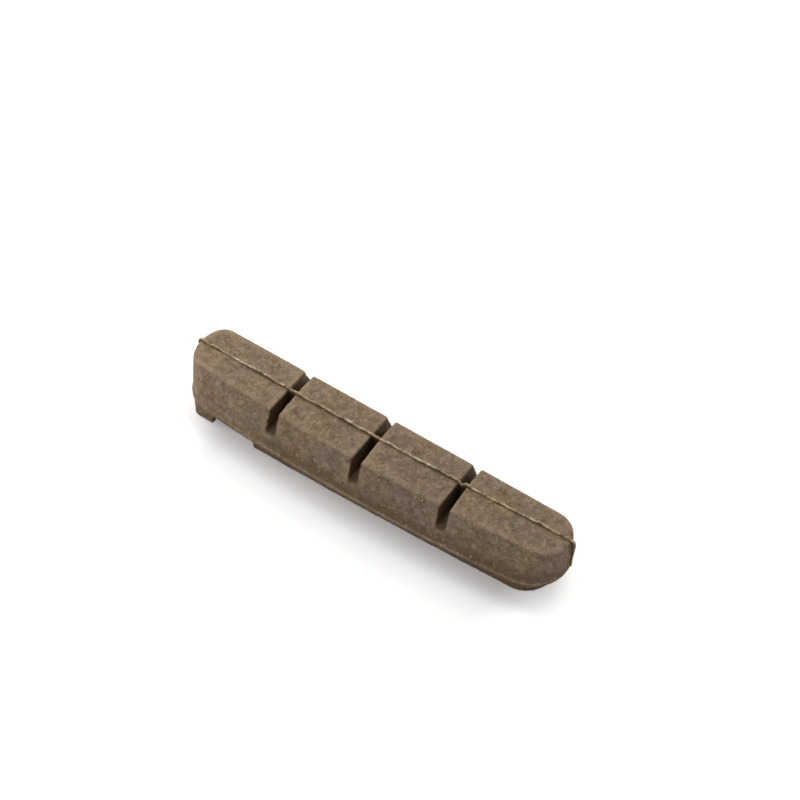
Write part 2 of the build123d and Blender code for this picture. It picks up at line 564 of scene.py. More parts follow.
class GrainKind(Enum):
    """Kinds of grain in the compound."""

    PALE = Grain(
        "pale", 0.45e6, 0.07 * MM, 0.15 * MM, 11,
        GrainFinish((0.2, 0.15, 0.098, 1.0), (0.3, 0.232, 0.155, 1.0)),
    )
    GOLD = Grain(
        "gold", 0.22e6, 0.07 * MM, 0.14 * MM, 23,
        GrainFinish((0.22, 0.155, 0.082, 1.0), (0.33, 0.245, 0.13, 1.0)),
    )
    RUST = Grain(
        "rust", 0.08e6, 0.06 * MM, 0.12 * MM, 37,
        GrainFinish((0.15, 0.065, 0.03, 1.0), (0.24, 0.12, 0.06, 1.0)),
    )


def add_object(name: str, data: Any) -> Object:
    """Put a new object in the scene.

    Args:
        name: Name of the object.
        data: Its mesh, curve, lamp or camera.

    Returns:
        The object.
    """
    added = bpy.data.objects.new(name, data)
    bpy.context.scene.collection.objects.link(added)
    return added


def evaluated(source: Object, name: str) -> Object:
    """Turn an object with its modifiers into a plain one, and remove the source.

    Args:
        source: Object that carries the modifiers.
        name: Name of the plain object.

    Returns:
        The plain mesh object, at the origin.
    """
    depsgraph = bpy.context.evaluated_depsgraph_get()
    mesh = bpy.data.meshes.new_from_object(source.evaluated_get(depsgraph), depsgraph=depsgraph)
    mesh.name = name
    plain = add_object(name, mesh)
    bpy.data.objects.remove(source)
    return plain


def grow(source: Object, tree: Tree, values: dict[str, Any]) -> None:
    """Put a tree of geometry nodes on an object.

    Args:
        source: Object that gets it.
        tree: The tree.
        values: The tree's inputs by name.
    """
    modifier = source.modifiers.new(tree.name, "NODES")
    modifier.node_group = tree
    for item in tree.interface.items_tree:
        if item.in_out == "INPUT" and item.name in values:
            modifier[item.identifier] = values[item.name]


class Skin:
    """Mesh of the moulded body while it is shaped and marked."""

    def __init__(self, mesh: bpy.types.Mesh) -> None:
        """Keep the mesh and find each point's neighbours.

        Args:
            mesh: The mesh, whose edges stay as they are.
        """
        self.mesh = mesh
        ends = np.empty(len(mesh.edges) * 2, np.int32)
        mesh.edges.foreach_get("vertices", ends)
        pairs = ends.reshape(-1, 2)
        self.at, self.other = np.concatenate([pairs, pairs[:, ::-1]]).T
        self.number = np.bincount(self.at, minlength=len(mesh.vertices))

    def _rows(self, items: Any, label: str) -> Array:
        """Read three numbers for each point.

        Args:
            items: The mesh's list of points or normals.
            label: Blender's name of the numbers.

        Returns:
            One row for each point.
        """
        rows = np.empty(len(items) * 3)
        items.foreach_get(label, rows)
        return rows.reshape(-1, 3)

    def points(self) -> Array:
        """Places of the points, one row for each."""
        return self._rows(self.mesh.vertices, "co")

    def normals(self) -> Array:
        """Directions that the points face, one row for each."""
        return self._rows(self.mesh.vertex_normals, "vector")

    def move(self, points: Array) -> None:
        """Put the points at new places."""
        self.mesh.vertices.foreach_set("co", points.ravel())

    def around(self, values: Array) -> Array:
        """Mean of the neighbours' values for each point."""
        return np.bincount(self.at, values[self.other], len(self.number)) / self.number

    def centres(self, points: Array) -> Array:
        """Middle of the neighbours' places for each point."""
        return np.stack([self.around(row) for row in points.T], 1)

    def spread(self, values: Array, rounds: int) -> Array:
        """Spread values over the neighbours.

        Args:
            values: One for each point.
            rounds: How often they are spread.

        Returns:
            The softer values.
        """
        for _ in range(rounds):
            values = (values + self.around(values)) / 2
        return values

    def note(self, mark: SkinMark, values: Array) -> None:
        """Write values on the points, for the finish to read."""
        attribute = self.mesh.attributes.new(mark.value, "FLOAT", "POINT")
        attribute.data.foreach_set("value", values)


def hand_over(piece: Object) -> Object:
    """Let a finished piece ride on the pad's body and report it.

    Args:
        piece: The plain mesh object.

    Returns:
        The same object.
    """
    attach(piece, BODY)
    triangles = sum(len(face.vertices) - 2 for face in piece.data.polygons)
    LOG.info("%s: %d triangles", piece.name, triangles)
    return piece


@dataclass(frozen=True)
class Profile:
    """Amounts at places along one direction, with straight lines between them."""

    places: Steps
    amounts: Steps

    def at(self, places: Array) -> Array:
        """Amounts at any places."""
        return np.interp(places, self.places, self.amounts)


@dataclass
class PadFrame:
    """Where the pad's main surfaces are, from the frame and a few heights."""

    flash_proud: float = 0.25 * MM
    base_z: float = 3.75 * MM
    setback: float = 0.1 * MM
    edge_radius: float = 0.4 * MM
    parting_y: float = -0.05 * MM
    parting_bow: float = 0.175 * MM
    parting_span: float = 20.0 * MM
    groove_count: int = 3
    groove_pitch: float = 12.6 * MM
    groove_mouth: float = 1.5 * MM
    groove_depth: float = 3.4 * MM
    groove_margin: float = 0.05 * MM
    film_dip: Profile = Profile((11.65 * MM, 12.05 * MM, 12.9 * MM), (0.0, 0.6 * MM, 0.0))

    def __post_init__(self) -> None:
        """Read the node's box."""
        low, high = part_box(NODE)
        self.heel_x = low.x + self.flash_proud
        self.nose_x = high.x - self.flash_proud
        self.face_z = high.z - self.flash_proud

    def draft(self, z: Array) -> Array:
        """How far the end walls stand back at a height, with the face's soft edge.

        Args:
            z: Heights, in metres.

        Returns:
            Distances from the base's ends.
        """
        lean = self.setback * np.clip((z - self.base_z) / (self.face_z - self.base_z), 0.0, 1.0)
        above = np.clip(z - (self.face_z - self.edge_radius), 0.0, self.edge_radius)
        return lean + self.edge_radius - np.sqrt(self.edge_radius**2 - above**2)

    def parting(self, x: Array) -> Array:
        """Where the parting line, a little bowed, runs across the pad at places along it."""
        return self.parting_y + self.parting_bow * ((x / self.parting_span) ** 2 - 1 / 3)

    def film_top(self, x: Array) -> Array:
        """Height that the film reaches to along the pad, with its dip over the last groove."""
        return self.face_z - self.film_dip.at(x)

    def from_groove(self, x: Array) -> Array:
        """How far places along the pad lie past their nearest groove's middle, towards the nose."""
        middle = (self.groove_count - 1) / 2
        return x - np.clip(np.round(x / self.groove_pitch), -middle, middle) * self.groove_pitch

    def depth_in_grooves(self, points: Array) -> Array:
        """How deep points lie inside the grooves.

        Args:
            points: Places, in metres.

        Returns:
            Depths below the face, and 0 outside the grooves.
        """
        inside = np.abs(self.from_groove(points[:, 0])) < self.groove_mouth / 2
        inside &= points[:, 2] > self.face_z - self.groove_depth - self.groove_margin
        return np.where(inside, np.clip(self.face_z - points[:, 2], 0.0, None), 0.0)


@dataclass
class MouldedBody:
    """The compound itself: the solid with softened edges and an uneven, grainy skin."""

    pad: PadFrame
    material: Material
    voxel: float = 0.17 * MM
    weld: float = 0.001 * MM
    softening: int = 1
    soft_factor: float = 0.5
    film_band: float = 0.4 * MM
    bend_rounds: int = 2
    # Pale edges: partly wear, partly painted highlight.
    edge_gain: float = 9.0
    edge_most: float = 0.9
    # A broad painted highlight band spread out from the convex edges, strongest at the heel.
    glow_rounds: int = 24
    glow_gain: float = 18.0
    glow_most: float = 0.55
    glow_share: Profile = Profile((-26.0 * MM, -18.0 * MM), (1.5, 0.9))
    # Painted shade in concave corners.
    corner_gain: float = 3.0
    corner_most: float = 0.85
    # Painted shade in the grooves, darkest in front of the film and less behind it; painted light makes
    # the grooves' floors lighter.
    near_hollow_reach: float = 0.5 * MM
    near_hollow_share: float = 0.97
    far_hollow_start: float = 0.2 * MM
    far_hollow_reach: float = 0.8 * MM
    far_hollow_share: Profile = Profile((0.5 * MM, 3.0 * MM), (0.88, 0.3))
    floor_depth: float = 2.7 * MM
    floor_fade: float = 0.5 * MM
    floor_light: float = 0.6
    # Painted shade on the side faces below the lip: the rim and the rail.
    rim_top: float = 4.22 * MM
    rim_slope: float = 0.7
    rim_share: float = 0.6
    rim_least: float = 0.6
    # Painted highlight: stronger where the rounded top edge faces up, towards the light.
    rub_from: float = 0.45
    rub_fade: float = 0.25
    rub_least: float = 0.1
    # How strong the lip's painted highlight and the rim's painted shade are along the pad.
    lip_start: float = -22.0 * MM
    lip_fade: float = 6.0 * MM
    lip_least: float = 0.2
    # Painted shade low on the near walls, growing towards the foot and fading out towards the heel.
    grime_top: float = 6.5 * MM
    grime_foot: float = 4.9 * MM
    grime_start: float = -18.0 * MM
    grime_full: float = -12.0 * MM
    grime_share: float = 0.55
    clean_from: float = 0.3
    # Painted shadow of the flash in a crease on its near side.
    crease_offset: float = 0.3 * MM
    crease_width: float = 0.28 * MM
    crease_share: Profile = Profile(
        (-22.0 * MM, -12.0 * MM, 4.0 * MM, 18.0 * MM), (0.2, 0.5, 0.5, 0.1)
    )
    lean_share: Profile = Profile(
        (0.05 * MM, 0.45 * MM, 1.0 * MM, 2.6 * MM), (0.0, 1.0, 1.0, 0.0)
    )
    lean: Profile = Profile(
        (-3.6 * MM, -2.3 * MM, 1.0 * MM, 3.4 * MM, 5.2 * MM),
        (0.08 * MM, 0.18 * MM, 0.3 * MM, 0.22 * MM, 0.0),
    )
    lean_rise: float = 0.5 * MM
    key_share: Profile = Profile((-26.5 * MM, -22.4 * MM), (0.0, 1.0))
    key_end: float = -21.8 * MM
    key_height: float = 2.5 * MM
    key_lean: float = 0.55 * MM
    key_lift: float = 0.25 * MM
    key_slope: float = 0.5
    # Painted shade on the key's end face.
    key_hollow: float = 0.95
    soft_along: Profile = Profile(
        (0.6 * MM, 0.8 * MM, 1.5 * MM, 2.2 * MM), (0.0, 1.0, 1.0, 0.0)
    )
    soft_across: Profile = Profile((3.4 * MM, 4.4 * MM), (0.0, 1.0))
    soft_down: Profile = Profile((1.0 * MM, 2.0 * MM), (1.0, 0.0))
    soft_rounds: int = 34
    slant_along: Profile = Profile((-3.2 * MM, -0.9 * MM, -0.3 * MM), (0.0, 1.0, 0.0))
    slant_across: Profile = Profile((3.2 * MM, 5.2 * MM), (0.0, 1.0))
    slant: float = 0.5 * MM
    dust_offset: float = 0.5 * MM
    dust_width: float = 0.45 * MM
    dust_share: float = 0.25
    back_band: float = 0.02 * MM
    witness_height: float = 0.1 * MM
    witness_width: float = 0.24 * MM
    witness_share: float = 0.7
    grain_height: float = 0.07 * MM
    grain_size: float = 0.6 * MM
    grain_detail: float = 1.5
    swell_height: float = 0.05 * MM
    swell_size: float = 4.0 * MM
    swell_detail: float = 0.5
    seed: float = 4.2

    def build(self) -> Object:
        """Make the piece that stands for the solid.

        Returns:
            The finished object.
        """
        body = self._remeshed()
        skin = Skin(body.data)
        for shape in (self._press_film, self._lean_walls, self._raise_witness, self._lean_key):
            points = skin.points()
            shape(points)
            skin.move(points)
        self._soften_corners(skin)
        self._mark(skin)
        soft = body.modifiers.new("soft_edges", "SMOOTH")
        soft.factor = self.soft_factor
        soft.iterations = self.softening
        sizes = labelled(self, "grain_height", "grain_size", "swell_height", "swell_size", "seed")
        grow(body, self._relief(sizes), sizes | {"Material": self.material})
        piece = evaluated(body, "moulded_body")
        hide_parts(NODE)
        return hand_over(piece)

    def _remeshed(self) -> Object:
        """Copy of the solid's mesh in even small faces.

        Returns:
            The object with the copy.
        """
        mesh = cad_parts[NODE].data.copy()
        work = bmesh.new()
        work.from_mesh(mesh)
        bmesh.ops.remove_doubles(work, verts=work.verts, dist=self.weld)
        work.to_mesh(mesh)
        work.free()
        mesh.materials.clear()
        copy = add_object("solid_copy", mesh)
        even = copy.modifiers.new("even_faces", "REMESH")
        even.mode = "VOXEL"
        even.voxel_size = self.voxel
        true = copy.modifiers.new("true_edges", "SHRINKWRAP")
        true.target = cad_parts[NODE]
        true.wrap_method = "NEAREST_SURFACEPOINT"
        return evaluated(copy, "skin")

    def _press_film(self, points: Array) -> None:
        """Press the solid's plain film flat, where the ragged flash takes its place.

        Args:
            points: The skin's points, changed in place.
        """
        band = np.abs(points[:, 1] - self.pad.parting_y) < self.film_band
        band &= points[:, 2] > self.pad.base_z
        film = points[band]
        film[:, 2] = np.minimum(film[:, 2], self.pad.film_top(film[:, 0]))
        back = self.pad.draft(film[:, 2])
        film[:, 0] = np.clip(film[:, 0], self.pad.heel_x + back, self.pad.nose_x - back)
        points[band] = film

    def _lean_walls(self, points: Array) -> None:
        """Let the grooves' nose-side walls lean in, most past the middle.

        Args:
            points: The skin's points, changed in place.
        """
        lean = self.lean.at(points[:, 1])
        share = self.lean_share.at(self.pad.from_groove(points[:, 0]))
        floor_z = self.pad.face_z - self.pad.groove_depth
        risen = np.clip((points[:, 2] - floor_z) / self.lean_rise, 0.0, 1.0)
        points[:, 0] -= lean * share * risen

    def _raise_witness(self, points: Array) -> None:
        """Raise the low witness line that the parting plane leaves along the rail's back.

        Args:
            points: The skin's points, changed in place.
        """
        beside = np.abs(points[:, 1] - self.pad.parting(points[:, 0]))
        rise = self.witness_height * np.clip(1.0 - beside / self.witness_width, 0.0, 1.0)
        points[:, 2] -= np.where(points[:, 2] < self.back_band, rise, 0.0)

    def _lean_key(self, points: Array) -> None:
        """Slant the key's end towards the heel and lift its back a little.

        Args:
            points: The skin's points, changed in place.
        """
        key = points[points[:, 0] < self.key_end]
        low = np.clip(1.0 - key[:, 2] / self.key_height, 0.0, 1.0)
        key[:, 0] -= self.key_lean * low * self.key_share.at(key[:, 0])
        key[:, 2] += self.key_lift * low
        points[points[:, 0] < self.key_end] = key

    def _soften_corners(self, skin: Skin) -> None:
        """Slant and round the blocks' corners at the far ends of the grooves.

        Args:
            skin: The skin, changed in place.
        """
        points = skin.points()
        past = self.pad.from_groove(points[:, 0])
        across, high = points[:, 1], self.soft_down.at(self.pad.face_z - points[:, 2])
        share = self.soft_along.at(np.abs(past)) * self.soft_across.at(across) * high
        slant = self.slant_along.at(past) * self.slant_across.at(across) * high
        points[:, 0] -= self.slant * slant
        for _ in range(self.soft_rounds):
            points += share[:, None] / 2 * (skin.centres(points) - points)
        skin.move(points)

    def _mark(self, skin: Skin) -> None:
        """Note on each point its share of wear and painted highlight, of painted shade in corners and
        creases, and of painted shade in the hollows.

        Args:
            skin: The skin, which gets the notes.
        """
        points, normals = skin.points(), skin.normals()
        bend = ((points - skin.centres(points)) * normals).sum(1) / self.voxel
        bend = skin.spread(bend, self.bend_rounds)
        # Convex edges spread wide, for the painted highlight band.
        glow = skin.spread(np.clip(bend, 0.0, None), self.glow_rounds)
        dirt = self._dirt(points, normals, bend)
        skin.note(SkinMark.EDGE, self._rubbed(points, normals, bend, glow))
        # Painted shade in concave corners, at least as much as low on the walls and in the crease.
        skin.note(SkinMark.CORNER, np.clip(-bend * self.corner_gain, dirt, self.corner_most))
        # Painted shade in the grooves and on the key's end.
        skin.note(SkinMark.HOLLOW, self._hollow(points, normals))

    def _lip(self, x: Array) -> Array:
        """How strong the lip's painted highlight and the rim's painted shade are at places along the
        pad, least at the heel.
        """
        return np.clip((x - self.lip_start) / self.lip_fade, self.lip_least, 1.0)

    def _by_line(self, points: Array, offset: float, width: float) -> Array:
        """Stripe beside the parting line, on the face only.

        Args:
            points: The skin's points.
            offset: Distance of the stripe's middle from the line, to the near side.
            width: Half the stripe's width.

        Returns:
            1 in its middle, falling to 0.
        """
        beside = self.pad.parting(points[:, 0]) - points[:, 1]
        stripe = np.clip(1.0 - np.abs(beside - offset) / width, 0.0, 1.0)
        stripe[points[:, 2] < self.pad.face_z - self.pad.edge_radius] = 0.0
        return stripe

    def _rubbed(self, points: Array, normals: Array, bend: Array, glow: Array) -> Array:
        """How much each point is paled, partly by wear and partly by painted highlight.

        Args:
            points: The skin's points.
            normals: Directions that they face.
            bend: How much the skin bulges there.
            glow: The bulges, spread out.

        Returns:
            Shares from 0 to 1.
        """
        x, _, z = points.T
        edge = np.clip(bend * self.edge_gain, 0.0, self.edge_most)
        # Painted highlight: a broad band spread from the edges, strongest at the heel.
        glow = np.clip(glow * self.glow_gain, 0.0, self.glow_most)
        edge = np.maximum(edge, glow * self.glow_share.at(x))
        edge[z < self.rim_top] = 0.0
        # Painted highlight: stronger where the rounded top edge faces up.
        rise = np.clip((normals[:, 2] - self.rub_from) / self.rub_fade, self.rub_least, 1.0)
        edge *= np.where(z > self.pad.face_z - 2 * self.pad.edge_radius, rise, 1.0)
        # Painted highlight on the foot's lip, faint at the heel.
        edge *= np.where(z < self.grime_foot, self._lip(x), 1.0)
        dust = self.dust_share * self._by_line(points, -self.dust_offset, self.dust_width)
        edge = np.maximum(edge, dust)
        edge[z < -self.witness_height / 4] = self.witness_share
        return edge

    def _dirt(self, points: Array, normals: Array, bend: Array) -> Array:
        """How much painted shade lies low on the walls, on the side faces below the lip and in the
        crease along the parting line.

        Args:
            points: The skin's points.
            normals: Directions that they face.
            bend: How much the skin bulges there.

        Returns:
            Shares from 0 to 1.
        """
        x, _, z = points.T
        # Painted shade low on the near walls, towards the foot, fading out towards the heel.
        low = np.clip((self.grime_top - z) / (self.grime_top - self.grime_foot), 0.0, 1.0)
        low *= np.clip((x - self.grime_start) / (self.grime_full - self.grime_start), 0.0, 1.0)
        low[bend * self.edge_gain > self.clean_from] = 0.0
        # Painted shade on the side faces below the lip: the rim and the rail.
        rim = (z < self.rim_top) & (np.abs(normals[:, 2]) < self.rim_slope)
        lip = self.rim_least + (1.0 - self.rim_least) * self._lip(x)
        low[rim] = (self.rim_share / self.grime_share * lip)[rim]
        # Painted shadow of the flash in a crease on its near side.
        crease = self._by_line(points, self.crease_offset, self.crease_width)
        crease *= self.crease_share.at(x)
        return np.maximum(low * self.grime_share, crease)

    def _hollow(self, points: Array, normals: Array) -> Array:
        """How much painted shade each point gets in a groove or on the key's end.

        Args:
            points: The skin's points.
            normals: Directions that they face.

        Returns:
            Shares from 0 to 1.
        """
        x, y, z = points.T
        depth = self.pad.depth_in_grooves(points)
        # Painted light: less shade on the grooves' floors.
        lit = 1.0 - self.floor_light * np.clip((depth - self.floor_depth) / self.floor_fade, 0.0, 1.0)
        near = np.clip(depth / self.near_hollow_reach, 0.0, self.near_hollow_share)
        below = np.clip((depth - self.far_hollow_start) / self.far_hollow_reach, 0.0, 1.0)
        far = np.minimum(below, self.far_hollow_share.at(y))
        hollow = np.where(self.pad.parting(x) - y > 0.0, near, far) * lit
        # Painted shade on the key's end face.
        key_face = (normals[:, 0] > self.key_slope) & (x < self.key_end) & (z < self.key_height)
        hollow[key_face] = self.key_hollow
        return hollow

    def _relief(self, sizes: dict[str, float]) -> Tree:
        """Tree that moves the skin in and out: granules and a slow swell.

        Args:
            sizes: What the tree takes, by name.

        Returns:
            The tree.
        """
        graph, given = new_grower("skin_relief", SocketKind.FLOAT.named(*sizes))
        place = graph.add("GeometryNodeInputPosition").outputs[0]
        normal = graph.add("GeometryNodeInputNormal").outputs[0]
        grain = graph.swing(place, given["Grain Size"], given["Seed"], self.grain_detail)
        swell = graph.swing(place, given["Swell Size"], given["Seed"], self.swell_detail)
        lift = graph.times(grain, given["Grain Height"])
        wave = graph.times(swell, given["Swell Height"])
        inputs = {"Geometry": given["Geometry"], "Offset": graph.scaled(normal, graph.plus(lift, wave))}
        moved = graph.add("GeometryNodeSetPosition", inputs)
        smooth = graph.add("GeometryNodeSetShadeSmooth", {"Geometry": moved.outputs[0]})
        graph.hand_out(smooth.outputs[0], given["Material"])
        return graph.tree


@dataclass
class PartingFlash:
    """Ragged film along the parting plane: over the face, across the grooves and down the nose."""

    pad: PadFrame
    material: Material
    thickness: float = 0.36 * MM
    height: float = 0.34 * MM
    nose_height: float = 0.5 * MM
    root: float = 0.12 * MM
    foot_width: float = 1.15
    crest_loss: float = 0.45
    meander: float = 0.12 * MM
    meander_size: float = 5.0 * MM
    meander_seed: float = 9.4
    tilt: float = 0.5
    tilt_size: float = 1.1 * MM
    tilt_seed: float = 6.1
    slow: Patches = Patches(2.2 * MM, 1.0, 2.6, 0.3, 0.7, 0.45, 1.25)
    quick: Patches = Patches(0.4 * MM, 1.5, 2.6, 0.3, 0.7, 0.7, 1.15)
    heel_drop: float = 0.8 * MM
    nose_fade: float = 0.5 * MM
    nose_end: float = 0.6 * MM
    nose_taper: float = 0.3
    # Painted shade on the fin down the nose: less of the pale crest there.
    nose_dull: float = 0.22
    step: float = 0.09 * MM
    path_points: int = 24
    bend_points: int = 8

    def build(self) -> Object:
        """Make the flash.

        Returns:
            The finished object.
        """
        sizes = labelled(self, "thickness", "height", "root", "meander", "step")
        sizes |= labelled(self, "nose_height", "nose_taper", "nose_dull")
        sizes |= {
            "Nose Start": self.pad.nose_x - self.pad.edge_radius,
            "Nose Foot": self.pad.base_z + self.nose_end,
            "Nose Top": self.pad.face_z - self.pad.edge_radius,
            "Bend Radius": self.pad.edge_radius,
        }
        path = self._path()
        grow(path, self._fin(sizes), sizes | {"Material": self.material})
        return hand_over(evaluated(path, "parting_flash"))

    def _path(self) -> Object:
        """Line that the flash follows.

        Returns:
            An open curve in the parting plane.
        """
        pad = self.pad
        ends = (pad.heel_x + pad.setback, pad.nose_x - pad.setback)
        corners = [(ends[0], pad.face_z - self.heel_drop)]
        along = np.union1d(np.linspace(*ends, self.path_points), pad.film_dip.places)
        corners += list(zip(along, pad.film_top(along)))
        corners.append((pad.nose_x, pad.base_z + self.nose_end))
        curve = bpy.data.curves.new("flash_path", "CURVE")
        curve.dimensions = "3D"
        spline = curve.splines.new("POLY")
        spline.points.add(len(corners) - 1)
        for point, (x, z) in zip(spline.points, corners):
            point.co = (x, pad.parting(x), z, 1.0)
        return add_object("flash_path", curve)

    def _fin(self, sizes: dict[str, float]) -> Tree:
        """Tree that stands a thin torn fin on the path.

        Args:
            sizes: What the tree takes, by name.

        Returns:
            The tree.
        """
        graph, given = new_grower("flash_fin", SocketKind.FLOAT.named(*sizes))
        bend = {"Curve": given["Geometry"], "Count": self.bend_points, "Radius": given["Bend Radius"]}
        bent = graph.add("GeometryNodeFilletCurve", bend | {"Limit Radius": True}, mode="POLY")
        steps = {"Curve": bent.outputs[0], "Length": given["Step"]}
        fine = graph.add("GeometryNodeResampleCurve", steps, mode="LENGTH").outputs[0]
        place = graph.add("GeometryNodeInputPosition").outputs[0]
        tangent = graph.add("GeometryNodeInputTangent").outputs[0]
        out = graph.vector("CROSS_PRODUCT", tangent, (0.0, 1.0, 0.0))
        line = graph.captured(fine, {"Point": place, "Out": out})
        square = graph.add("GeometryNodeCurvePrimitiveQuadrilateral", {"Width": 1.0, "Height": 1.0})
        section = graph.captured(square.outputs[0], {"Corner": place})
        curves = {"Curve": line["Geometry"], "Profile Curve": section["Geometry"], "Fill Caps": True}
        strip = graph.add("GeometryNodeCurveToMesh", curves).outputs[0]
        point = line["Point"]
        side = graph.parts(section["Corner"])
        # The square lies about its own middle, so this is 0 at the foot and 1 at the crest.
        crest = graph.plus(side[1], 0.5)
        along = graph.parts(point)
        nose_start = given["Nose Start"]
        tall = graph.ramp(along[0], nose_start, graph.plus(nose_start, self.nose_fade))
        slim = graph.ramp(along[2], given["Nose Foot"], given["Nose Top"], given["Nose Taper"], 1.0)
        rise = graph.minus(graph.times(given["Nose Height"], slim), given["Height"])
        height = graph.plus(given["Height"], graph.times(tall, rise))
        ragged = graph.times(self.slow.level(graph, point), self.quick.level(graph, point))
        calm = graph.plus(ragged, graph.times(tall, graph.minus(1.0, ragged)))
        whole = graph.times(crest, graph.plus(graph.times(height, calm), given["Root"]))
        taper = graph.minus(self.foot_width, graph.times(crest, self.crest_loss))
        across = graph.times(graph.times(side[0], taper), given["Thickness"])
        sway = graph.times(graph.swing(point, self.meander_size, self.meander_seed), given["Meander"])
        tilt = graph.swing(point, self.tilt_size, self.tilt_seed)
        lean = graph.times(tilt, graph.times(given["Thickness"], self.tilt))
        shift = graph.plus(across, graph.plus(sway, graph.times(lean, crest)))
        sideways = graph.add("ShaderNodeCombineXYZ", {"Y": shift}).outputs[0]
        outward = graph.scaled(line["Out"], graph.minus(whole, given["Root"]))
        spot = graph.vector("ADD", point, graph.vector("ADD", sideways, outward))
        moved = graph.add("GeometryNodeSetPosition", {"Geometry": strip, "Position": spot})
        # Painted shade: the fin down the nose keeps less of its pale crest.
        fresh = graph.minus(1.0, graph.times(tall, given["Nose Dull"]))
        shown = {"Geometry": moved.outputs[0], "Name": CREST, "Value": graph.times(crest, fresh)}
        noted = graph.add("GeometryNodeStoreNamedAttribute", shown)
        graph.hand_out(noted.outputs[0], given["Material"])
        return graph.tree


@dataclass
class GrainScatter:
    """Loose grains that lie half sunk in the skin."""

    body: Object
    flatness: float = 0.4
    edge_steps: Steps = (0.05, 0.4, 0.8, 2.2)
    hollow_least: float = 0.01
    stretch: Steps = (0.7, 1.5)
    stretch_seed: int = 71
    spin_seed: int = 72
    tone_seed: int = 73

    def build(self) -> list[Object]:
        """Make one piece for each kind of grain.

        Returns:
            The finished objects.
        """
        tree = self._scatter()
        pieces = []
        for kind in GrainKind:
            grain = kind.value
            carrier = add_object("carrier", self.body.data.copy())
            values = labelled(grain, "density", "smallest", "largest", "seed")
            values |= labelled(self, "flatness")
            values["Material"] = grain.finish.material(f"{grain.label}_grain")
            grow(carrier, tree, values)
            pieces.append(hand_over(evaluated(carrier, f"{grain.label}_grains")))
        return pieces

    def _scatter(self) -> Tree:
        """Tree that strews flat chips over a skin and leaves the skin itself out.

        Returns:
            The tree.
        """
        takes = SocketKind.FLOAT.named("Density", "Smallest", "Largest", "Flatness")
        graph, given = new_grower("grain_scatter", takes | SocketKind.INTEGER.named("Seed"))
        hollow, edge = (
            graph.add("GeometryNodeInputNamedAttribute", {"Name": mark.value}).outputs[0]
            for mark in (SkinMark.HOLLOW, SkinMark.EDGE)
        )
        # More grains where the edge mark is high: on worn edges and in the painted highlight band.
        share = graph.ramp(edge, *self.edge_steps)
        bare = graph.times(share, graph.math("LESS_THAN", hollow, self.hollow_least))
        density = graph.times(given["Density"], bare)
        ground = {"Mesh": given["Geometry"], "Density": density, "Seed": given["Seed"]}
        spots = graph.add("GeometryNodeDistributePointsOnFaces", ground).outputs
        chip = graph.add("GeometryNodeMeshIcoSphere", {"Radius": 1.0, "Subdivisions": 1})
        width = graph.random(given["Smallest"], given["Largest"], given["Seed"])
        stretch = graph.random(*self.stretch, self.stretch_seed)
        spin = graph.random(0.0, math.tau, self.spin_seed)
        shape = graph.add("ShaderNodeCombineXYZ", {0: stretch, 1: 1.0, 2: given["Flatness"]})
        turn = graph.add("FunctionNodeAxisAngleToRotation", {0: (0.0, 0.0, 1.0), 1: spin})
        turns = {0: spots["Rotation"], 1: turn.outputs[0]}
        turned = graph.add("FunctionNodeRotateRotation", turns, rotation_space="LOCAL")
        strewn = {
            "Points": spots["Points"],
            "Instance": chip.outputs["Mesh"],
            "Rotation": turned.outputs[0],
            "Scale": graph.scaled(shape.outputs[0], width),
        }
        chips = graph.add("GeometryNodeInstanceOnPoints", strewn)
        tone = graph.random(0.0, 1.0, self.tone_seed)
        shown = {"Geometry": chips.outputs[0], "Name": TONE, "Value": tone}
        toned = graph.add("GeometryNodeStoreNamedAttribute", shown, domain="INSTANCE")
        graph.hand_out(toned.outputs[0], given["Material"])
        return graph.tree


@dataclass(frozen=True)
class WhiteFloorFinish:
    """White paper that keeps the pad's shadow and is white to the eye away from it; its glow is least
    next to the pad's sides, deepening the shadow there as painted shade, and rises towards the pad's
    ends, lifting the shadow there as painted light.
    """

    paper: Colour = (0.9, 0.9, 0.9, 1.0)
    shown: Colour = (0.905, 0.892, 0.87, 1.0)
    # Painted shade: less glow next to the pad's sides than further out.
    foot_glow: float = 0.12
    near_glow: float = 0.215
    foot_start: float = 4.5 * MM
    foot_end: float = 7.0 * MM
    # Painted light: more glow beyond the pad's ends.
    end_glow: float = 0.22
    end_start: float = 20.0 * MM
    end_full: float = 25.5 * MM
    rim_glow: float = 0.9
    rim_start: float = 18.0 * MM
    rim_end: float = 36.0 * MM
    rim_shape: tuple[float, float, float] = (0.55, 1.0, 0.0)

    def material(self) -> Material:
        """Build the material.

        Returns:
            The new material.
        """
        material, graph = new_material("white_floor")
        seen = seen_directly(graph)
        colour = graph.blend(seen, self.paper, self.shown)
        paper = graph.add("ShaderNodeBsdfDiffuse", {"Color": colour})
        place = graph.add("ShaderNodeTexCoord").outputs["Object"]
        oval = graph.vector("MULTIPLY", place, self.rim_shape)
        away = graph.add("ShaderNodeVectorMath", {0: oval}, operation="LENGTH").outputs["Value"]
        rim = graph.ramp(away, self.rim_start, self.rim_end, 0.0, self.rim_glow)
        sides = graph.parts(graph.vector("ABSOLUTE", place, (0.0, 0.0, 0.0)))
        foot = graph.ramp(sides[1], self.foot_start, self.foot_end, self.foot_glow, self.near_glow)
        ends = graph.ramp(sides[0], self.end_start, self.end_full, 0.0, self.end_glow)
        level = graph.math("MAXIMUM", rim, graph.plus(foot, ends))
        glow = graph.add("ShaderNodeEmission", {"Strength": graph.times(seen, level)})
        both = graph.add("ShaderNodeAddShader", {0: paper.outputs[0], 1: glow.outputs[0]})
        graph.add("ShaderNodeOutputMaterial", {"Surface": both.outputs[0]})
        return material


